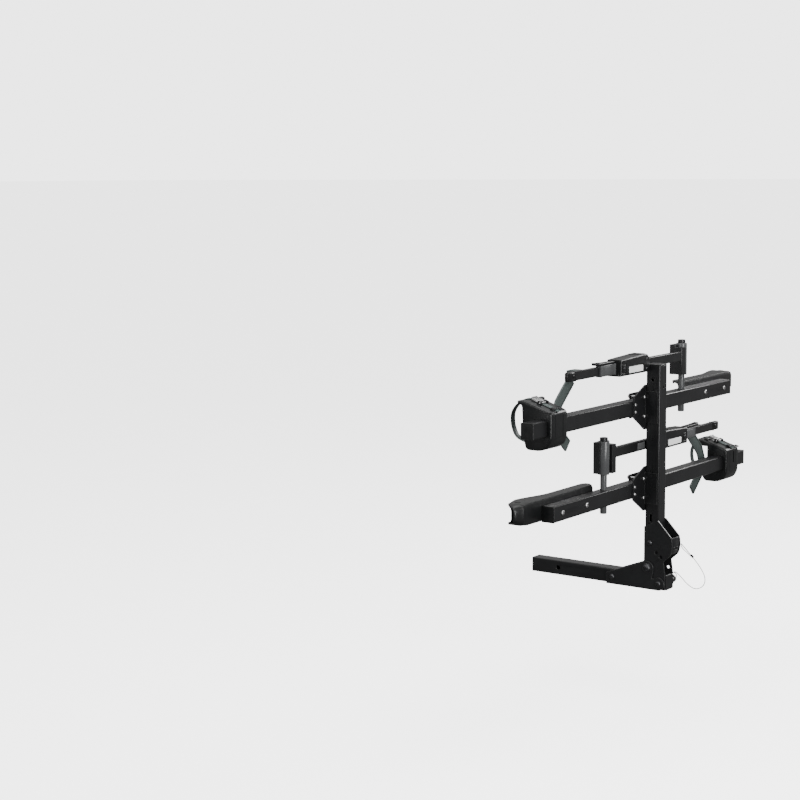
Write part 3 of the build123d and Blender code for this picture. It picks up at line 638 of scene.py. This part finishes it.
def trough_section(u):
    """(v, w) round the trough's section at u: up the inside, over the rim and down outside."""
    rim, half = between(RIM_LINE, u), between(HALF_WIDTH, u)
    inner = min(between(FLOOR_IN, u), rim - LEAST_FLOOR)
    outer = min(between(FLOOR_OUT, u), inner - LEAST_FLOOR)
    inset = END_INSET if u in (STATIONS[0], STATIONS[-1]) else 0.0
    quarter = [
        (inner, half - WALL - 12), (inner + 3.5, half - WALL - 3.5), (inner + 12, half - WALL),
        (rim - 8, half - WALL), (rim - 5, half - LIP), (rim - 1.2, half - LIP),
        (rim, half - LIP + 1.2), (rim, half - 1.5), (rim - 1.5, half), (rim - 6, half),
        (outer + 12, half), (outer + 3.5, half - 3.5), (outer, half - 12),
    ]
    quarter = [(max(min(v, rim), outer) if v > inner else v, w - inset) for v, w in quarter]
    return quarter + [(v, -w) for v, w in reversed(quarter)]


def wheel_cradle(side):
    """The front wheel's trough, with cleats across its floor and pads on its side walls."""
    place = tray_place(side)
    mesh = bmesh.new()
    add_loft(mesh, [[place(u, v, w + CRADLE_MID) for v, w in trough_section(u)] for u in STATIONS])
    for k in range(CLEATS):
        u = -70 - CLEAT_PITCH * k
        add_box(mesh, place, u - 3, u + 3, 77, 82.5, CRADLE_MID - 31, CRADLE_MID + 31, r=1.6)
    for s in (-1, 1):
        for u, proud in ((-392, 37.4), (-418, 36)):
            low, high = sorted((CRADLE_MID + s * 32, CRADLE_MID + s * proud))
            add_box(mesh, place, u - 8, u + 8, 100, 118, low, high, r=1.4)
    cradle = piece(f"{side}_wheel_cradle", from_bmesh("cradle", mesh), "black_plastic", "mast", 38)
    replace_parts(cradle, f"{side}_cradle")


for side in SIDES:
    wheel_cradle(side)


# --- arms: ratchet housing, lever, hook --------------------------------------------------------
ARM_W = 143.0
ARM_BORE = (290, 520, 31, 49, ARM_W - 16, ARM_W + 16)
LABEL_RECESS = (352, 455, 4, 9.2, ARM_W - 20, ARM_W + 6)
PAD_RECESS = (466, 494, 4, 9.6, ARM_W - 16, ARM_W + 16)
TOP_SEAM = (340, 495, 34.2, 35.6, ARM_W + 24, ARM_W + 45)
HOUSING_DEPTH = (8, 62)
HOUSING_ROUNDING = 6
# (u, w) round the housing: its rounded end by the arm, then its straight end by the collar
HOUSING_LINE = smooth_line([
    (322, 118), (311, 124), (306, 143), (309, 163), (318, 174), (328, 178), (360, 178.4),
    (396, 177), (450, 174.6)], 4) + [(500, 172), (500, 118)]
SCREW_SPOTS = ((330, ARM_W + 18), (330, ARM_W - 14), (480, ARM_W))
LEVER_V = 38.5
# the thumb lever's sections: u, half width, and its bottom and top over the arm's axis
LEVER_SECTIONS = [
    (502, 7, 20, 25), (504, 9.6, 19, 26), (560, 10.8, 19, 26.3), (600, 11.4, 19.2, 26.6),
    (614, 11.2, 19.6, 28), (621, 9, 21, 29.6), (623.4, 6, 23, 29),
]
HOOK_LINE = [(672, 124), (752, 54), (774, 10), (760, -30), (694, -86)]
STRIP_HALF, RIM_OUTER, RIM_INNER = 20.2, 21, 17.4


def across_tray(side):
    """Maps an outline's (u, w) and its level v to the row frame."""
    place = tray_place(side)
    return lambda u, w, v: place(u, v, w)


def ratchet_housing(side):
    """The housing round the arm's end, with its grips and its screws."""
    place, arm = tray_place(side), f"{side}_arm"
    housing = profile(f"{side}_housing", [HOUSING_LINE], *HOUSING_DEPTH, across_tray(side),
                      "black_plastic", arm, edge=HOUSING_ROUNDING, rounds=4)
    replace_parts(housing, f"{side}_ratchet_housing")
    carve(housing, [ARM_BORE, LABEL_RECESS, PAD_RECESS, TOP_SEAM], place)
    mesh = bmesh.new()
    for k in range(5):
        add_box(mesh, place, 332 + 9 * k, 336 + 9 * k, 14, 56, ARM_W + 33.0, ARM_W + 36.6, r=1.2)
    add_box(mesh, place, 469, 491, 8, 11, ARM_W - 12, ARM_W + 12, r=1.5)
    piece(f"{side}_housing_grips", from_bmesh("grips", mesh), "black_plastic", arm)
    mesh = bmesh.new()
    for u, w in SCREW_SPOTS:
        add_bolt(mesh, facing_out(place, u, 8.6, w), 4.2, 2.2, domed=True)
    piece(f"{side}_housing_screws", from_bmesh("screws", mesh), "black_bolts", arm)


def guide_collar(side):
    """The grey collar that guides the hook bar, with a ring at each end."""
    place = tray_place(side)
    mesh = bmesh.new()
    add_box(mesh, place, 499, 595, 28, 46.8, ARM_W - 18, ARM_W + 18, r=3)
    add_box(mesh, place, 588, 596, 26.8, 47.2, ARM_W - 18.6, ARM_W + 18.3, r=2)
    add_box(mesh, place, 500, 508, 26.8, 47.2, ARM_W - 18.6, ARM_W + 18.3, r=2)
    add_box(mesh, place, 520, 576, 27, 29, ARM_W - 12, ARM_W + 12, r=1)
    collar = piece(f"{side}_collar", from_bmesh("collar", mesh), "grey_plastic", f"{side}_arm")
    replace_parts(collar, f"{side}_guide_collar")


def thumb_lever(side):
    """The release lever, which widens and curls up to a ribbed thumb pad."""
    place = tray_place(side)
    mesh = bmesh.new()
    add_loft(mesh, [
        [place(u, LEVER_V + a, ARM_W + b) for a, b in rounded_box(-half, half, low, high, 2.4)]
        for u, half, low, high in LEVER_SECTIONS])
    for k in range(4):
        add_box(mesh, place, 586 + 6 * k, 588.4 + 6 * k, 30, 47, ARM_W + 26, ARM_W + 28, r=0.8)
    lever = piece(f"{side}_thumb_lever", from_bmesh("lever", mesh), "black_plastic",
                  f"{side}_release")
    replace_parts(lever, f"{side}_release_lever")


def tyre_hook(side):
    """The bent strip that holds the wheel, its raised rim, its mount and the bar's end plug."""
    place, hook, face = tray_place(side), f"{side}_hook", across_tray(side)
    strip = profile(f"{side}_hook_strip", [band(HOOK_LINE, STRIP_HALF, 8)], 88, 92, face,
                    "hook_rubber", hook, edge=1.2)
    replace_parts(strip, f"{side}_tyre_hook")
    profile(f"{side}_hook_rim", [band(HOOK_LINE, RIM_OUTER, 8), band(HOOK_LINE, RIM_INNER, 6)],
            86.6, 93.2, face, "hook_rubber", hook, edge=1.3)
    mesh = bmesh.new()
    add_box(mesh, place, 652, 700, 86.8, 93, ARM_W - 29, ARM_W + 11, r=2.4)
    add_box(mesh, place, 656, 695, 47.4, 88.4, ARM_W - 11.6, ARM_W + 11.6, r=2)
    piece(f"{side}_hook_mount", from_bmesh("mount", mesh), "hook_rubber", hook)

    mesh = bmesh.new()
    add_box(mesh, place, 744, 786, 31.2, 48.8, ARM_W - 14.9, ARM_W + 14.9, r=5)
    add_box(mesh, place, 742, 748, 30.8, 49.2, ARM_W - 15.4, ARM_W + 15.4, r=1.4)
    add_bolt(mesh, facing_out(place, 757, 31.4, ARM_W), 5.0, 2.6, domed=True)
    tip = piece(f"{side}_end_plug", from_bmesh("tip", mesh), "black_plastic", hook)
    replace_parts(tip, f"{side}_bar_tip")


for side in SIDES:
    ratchet_housing(side)
    guide_collar(side)
    thumb_lever(side)
    tyre_hook(side)

mesh = bmesh.new()
add_box(mesh, tray_place("lower"), 186, 236, 30.3, 31.2, ARM_W - 11, ARM_W + 11, r=0.4)
piece("lower_arm_sticker", from_bmesh("sticker", mesh), "grey_plastic", "lower_arm")


# --- fasteners ---------------------------------------------------------------------------------
FOOT_FACE, EAR_FACE = 30.4, 35.8
EAR_CROSS_BOLT = (142, -2)
EAR_BLANK = (-31, -4)
PIVOT = (11, 44.6)
FOOT_BOLT = (4.6, 130)
CLAMP_FACE, CLAMP_NUT_FACE = 25.4, 78
CRADLE_BOLTS_U = (-289, -143)


def along_x(x, yz, sign):
    """A placer for a fastener whose axis runs along X, seated at x."""
    y, z = yz
    return lambda a, b, c: world_mm(x + sign * a, y + b, z + c)


def along_y(x, y, z, sign):
    """A placer for a fastener whose axis runs along Y, seated at y."""
    return lambda a, b, c: world_mm(x + b, y + sign * a, z + c)


def add_cross_shank(mesh, yz, half_length, radius):
    """A bolt's shank from one side of the foot to the other."""
    add_turned(mesh, along_x(0, yz, 1), [(-half_length, radius), (half_length, radius)])


def fasteners(name, mesh, slot, body, node):
    """One piece for a group of fasteners, in place of its CAD node."""
    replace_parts(piece(name, from_bmesh(name, mesh), slot, body), node)


def foot_hardware():
    """The cross bolts of the hitch bar's ears, the pivot bolt and the foot's bolt."""
    mesh = bmesh.new()
    add_bolt(mesh, along_x(-EAR_FACE, EAR_CROSS_BOLT, -1), 9, 5.4, washer=10.5, domed=True)
    add_nut(mesh, along_x(EAR_FACE, EAR_CROSS_BOLT, 1), 8.6, 7, 5, washer=10.5)
    add_bolt(mesh, along_x(-EAR_FACE, EAR_BLANK, -1), 10, 4.4, domed=True)
    add_cross_shank(mesh, EAR_CROSS_BOLT, EAR_FACE, 5)
    fasteners("ear_fasteners", mesh, "black_bolts", "bar", "ear_bolts")
    mesh = bmesh.new()
    add_bolt(mesh, along_x(-EAR_FACE, PIVOT, -1), 13, 8, washer=17, domed=True)
    add_nut(mesh, along_x(EAR_FACE, PIVOT, 1), 12.6, 12, 8, washer=17)
    add_cross_shank(mesh, PIVOT, EAR_FACE, 8)
    fasteners("pivot_fastener", mesh, "black_bolts", "bar", "pivot_bolt")
    mesh = bmesh.new()
    add_bolt(mesh, along_x(-FOOT_FACE, FOOT_BOLT, -1), 9.5, 5, domed=True)
    add_nut(mesh, along_x(FOOT_FACE, FOOT_BOLT, 1), 9, 6, 5)
    add_cross_shank(mesh, FOOT_BOLT, FOOT_FACE, 5)
    fasteners("foot_fasteners", mesh, "black_bolts", "mast", "foot_bolts")


def tray_hardware():
    """The bolts of the clamps round the mast, and those that hold the cradles."""
    clamps, cradle_heads = bmesh.new(), bmesh.new()
    for post_x, level, way in SIDES.values():
        post, mid = post_x / MM, level / MM
        for s in (-1, 1):
            for k in (-1, 1):
                x, z = 36 * s, mid + 32 * k
                add_bolt(clamps, along_y(x, CLAMP_FACE, z, -1), 6, 4.4, domed=True)
                add_nut(clamps, along_y(x, CLAMP_NUT_FACE, z, 1), 7, 6, 4, washer=8)
                add_turned(clamps, along_y(x, CLAMP_FACE, z, 1), [(0, 4), (56, 4)])
                add_bolt(clamps, along_y(96 * s, CLAMP_FACE, mid + 12 * k, -1), 5.6, 3.8, domed=True)
        for u in CRADLE_BOLTS_U:
            x = post + way * u
            add_bolt(cradle_heads, along_y(x, 30, mid, -1), 8, 3.8, domed=True)
            add_nut(cradle_heads, along_y(x, 79, mid, 1), 7, 4, 3.4)
    fasteners("clamp_fasteners", clamps, "bolt_steel", "mast", "clamp_bolts")
    fasteners("cradle_fasteners", cradle_heads, "bolt_steel", "mast", "cradle_bolts")


foot_hardware()
tray_hardware()


# --- camera, lights and floor ----------------------------------------------------------------
SENSOR_MM = 36.0
LENS_MM = 78.808635
LENS_SHIFT = (-0.03544375, -0.0263525)
YAW, PITCH, ROLL = 0.952, 0.118, -0.005
CAMERA_AT = Vector((-5.102075, -3.070758, 1.358420))

ahead = Vector((math.sin(YAW) * math.cos(PITCH), math.cos(YAW) * math.cos(PITCH), -math.sin(PITCH)))
level_right = Vector((math.cos(YAW), -math.sin(YAW), 0))
level_up = level_right.cross(ahead)
right = math.cos(ROLL) * level_right + math.sin(ROLL) * level_up
up = -math.sin(ROLL) * level_right + math.cos(ROLL) * level_up

camera_data = bpy.data.cameras.new("camera")
camera = bpy.data.objects.new("camera", camera_data)
bpy.context.scene.collection.objects.link(camera)
camera.matrix_world = Matrix((
    (right.x, up.x, -ahead.x, CAMERA_AT.x),
    (right.y, up.y, -ahead.y, CAMERA_AT.y),
    (right.z, up.z, -ahead.z, CAMERA_AT.z),
    (0, 0, 0, 1),
))
camera_data.sensor_width = SENSOR_MM
camera_data.sensor_fit = "HORIZONTAL"
camera_data.lens = LENS_MM
camera_data.shift_x, camera_data.shift_y = LENS_SHIFT
camera_data.clip_end = 1000
bpy.context.scene.camera = camera

FLOOR_Z = -0.40
FLOOR_REACH = 300
FLOOR_GLOW = 2.2
floor_mesh = bmesh.new()
bmesh.ops.create_grid(floor_mesh, x_segments=1, y_segments=1, size=FLOOR_REACH)
floor_data = bpy.data.meshes.new("floor")
floor_mesh.to_mesh(floor_data)
floor_mesh.free()
floor = bpy.data.objects.new("floor", floor_data)
floor.location.z = FLOOR_Z
bpy.context.scene.collection.objects.link(floor)
floor_nodes = Nodes("floor")
floor_nodes.bsdf.inputs["Emission Color"].default_value = (1, 1, 1, 1)
floor_nodes.bsdf.inputs["Emission Strength"].default_value = FLOOR_GLOW
floor_data.materials.append(floor_nodes.surface(
    floor_nodes.ramp(floor_nodes.noise(2, 3), ((0.3, 0.88), (0.7, 0.90))), 0.85, specular=0.2))
# the floor shows to the camera alone, and neither lights the rack nor shows in it
floor.visible_diffuse = False
floor.visible_glossy = False

# the sky that lights the rack is darker than the one behind it, and brightest part of the way up
BACKDROP = 3.6
SKY_SHADES = ((0.0, 0.30), (0.3, 0.42), (0.62, 1.5), (1.0, 1.0))
world = bpy.data.worlds.new("studio")
world.use_nodes = True
sky = world.node_tree
seen = sky.nodes.new("ShaderNodeBackground")
seen.inputs["Color"].default_value = (1, 1, 1, 1)
seen.inputs["Strength"].default_value = BACKDROP
lit = sky.nodes["Background"]
lit.inputs["Strength"].default_value = 1.0
height = sky.nodes.new("ShaderNodeSeparateXYZ")
sky.links.new(sky.nodes.new("ShaderNodeTexCoord").outputs["Generated"], height.inputs["Vector"])
shade = sky.nodes.new("ShaderNodeValToRGB")
while len(shade.color_ramp.elements) < len(SKY_SHADES):
    shade.color_ramp.elements.new(0.5)
for element, (level, value) in zip(shade.color_ramp.elements, SKY_SHADES):
    element.position = level
    element.color = (value, value, value, 1)
sky.links.new(height.outputs["Z"], shade.inputs["Fac"])
sky.links.new(shade.outputs["Color"], lit.inputs["Color"])
ray = sky.nodes.new("ShaderNodeLightPath")
choose = sky.nodes.new("ShaderNodeMixShader")
sky.links.new(ray.outputs["Is Camera Ray"], choose.inputs["Fac"])
sky.links.new(lit.outputs["Background"], choose.inputs[1])
sky.links.new(seen.outputs["Background"], choose.inputs[2])
sky.links.new(choose.outputs["Shader"], sky.nodes["World Output"].inputs["Surface"])
bpy.context.scene.world = world


def area_light(name, at, target, size, power):
    """A soft rectangular light that faces a target."""
    data = bpy.data.lights.new(name, "AREA")
    data.shape = "RECTANGLE"
    data.size, data.size_y = size
    data.energy = power
    lamp = bpy.data.objects.new(name, data)
    lamp.location = at
    lamp.rotation_euler = (Vector(target) - Vector(at)).to_track_quat("-Z", "Y").to_euler()
    bpy.context.scene.collection.objects.link(lamp)


RACK_MIDDLE = (0, -0.3, 0.4)
area_light("top_softbox", (-0.6, -0.6, 4.4), (0, -0.3, 0.3), (4.0, 3.0), 260)
area_light("left_softbox", (-4.4, 0.8, 1.6), RACK_MIDDLE, (0.5, 2.6), 60)
area_light("corner_softbox", (-2.2, -4.4, 1.2), RACK_MIDDLE, (1.8, 3.0), 330)
area_light("far_softbox", (4.2, -1.6, 2.5), RACK_MIDDLE, (2.0, 1.6), 170)


# --- lanyard ---------------------------------------------------------------------------------
LANYARD_D = 2.4
# from the eye on the foot plate to the lock pin's ring
LANYARD = [
    (38.2, -77.0, 126.0), (38.3, -104.0, 101.0), (39.0, -146.0, 58.5), (39.5, -168.0, 22.0),
    (40.0, -162.0, -8.0), (41.0, -131.0, -24.5), (45.5, -99.0, -12.0), (53.0, -71.0, 9.0),
    (65.0, -47.0, 20.0), (79.3, -32.0, 16.8),
]
# the rope's tail comes back from the eye into the ferrule
LANYARD_TAIL = [
    (38.4, -76.2, 125.2), (38.6, -78.5, 114.0), (38.8, -91.0, 103.0), (38.9, -104.0, 94.5),
    (38.9, -113.5, 86.5),
]
TAIL_D = LANYARD_D * 0.92
# the ferrule is an oval sleeve crimped in two places: (distance from its middle, part of its size)
FERRULE_AT = (38.6, -116.6, 85.4)
FERRULE_HALF = (4.3, 3.0)
FERRULE_OFFSET = 0.9
FERRULE_RINGS = [
    (-6, 0.6), (-5.6, 0.92), (-5, 1), (-3.2, 1), (-2.6, 0.84), (-1.6, 0.84), (-1, 1),
    (1, 1), (1.6, 0.84), (2.6, 0.84), (3.2, 1), (5, 1), (5.6, 0.92), (6, 0.6),
]


def nurbs(name, points, diameter):
    """A round tube, or at zero diameter a bare line, on a smooth curve near the points."""
    curve = bpy.data.curves.new(name, "CURVE")
    curve.dimensions = "3D"
    spline = curve.splines.new("NURBS")
    spline.points.add(len(points) - 1)
    for knot, p in zip(spline.points, points):
        knot.co = (*p, 1)
    spline.order_u = 3
    spline.use_endpoint_u = True
    spline.resolution_u = 12
    curve.bevel_depth = diameter / 2
    curve.bevel_resolution = 3
    curve.use_fill_caps = True
    obj = bpy.data.objects.new(name, curve)
    bpy.context.scene.collection.objects.link(obj)
    return obj


def evaluated_mesh(obj):
    """The mesh of a curve object, which is removed."""
    bpy.context.view_layer.update()
    data = bpy.data.meshes.new_from_object(obj.evaluated_get(bpy.context.evaluated_depsgraph_get()))
    bpy.data.objects.remove(obj)
    return data


def rope(name, points, diameter):
    """A tube along a smooth line, with the points of that line."""
    path = [v.co.copy() for v in evaluated_mesh(nurbs("line", points, 0)).vertices]
    data = evaluated_mesh(nurbs("tube", points, diameter))
    obj = bpy.data.objects.new(name, data)
    bpy.context.scene.collection.objects.link(obj)
    return held(obj, "lanyard_wire"), path


def held(obj, slot):
    """A piece of the lanyard, smooth shaded, with its material and its transform baked into its mesh."""
    smooth(obj)
    obj.data.materials.clear()
    obj.data.materials.append(MATERIALS[slot])
    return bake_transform(obj)


lanyard, path = rope("lanyard", [world_mm(*p) for p in LANYARD], LANYARD_D * MM)
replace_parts(lanyard, "lanyard_cable")
tail, _ = rope("lanyard_tail", [world_mm(*p) for p in LANYARD_TAIL], TAIL_D * MM)

spot = world_mm(*FERRULE_AT)
near = min(range(1, len(path) - 1), key=lambda k: (path[k] - spot).length)
run = (path[near + 1] - path[near - 1]).normalized()
across = Vector((0, run.z, -run.y)).normalized()
deep = run.cross(across)
wide, thick = (half * MM for half in FERRULE_HALF)
mesh = bmesh.new()
rings = []
for at, size in FERRULE_RINGS:
    centre = path[near] + run * at * MM + across * FERRULE_OFFSET * MM
    rings.append([centre + across * math.cos(t) * wide * size + deep * math.sin(t) * thick * size
                  for t in (2 * math.pi * k / 24 for k in range(24))])
add_loft(mesh, rings)
ferrule = bpy.data.objects.new("ferrule", from_bmesh("ferrule", mesh))
bpy.context.scene.collection.objects.link(ferrule)
held(ferrule, "black_plastic")
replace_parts(ferrule, "lanyard_ferrule")
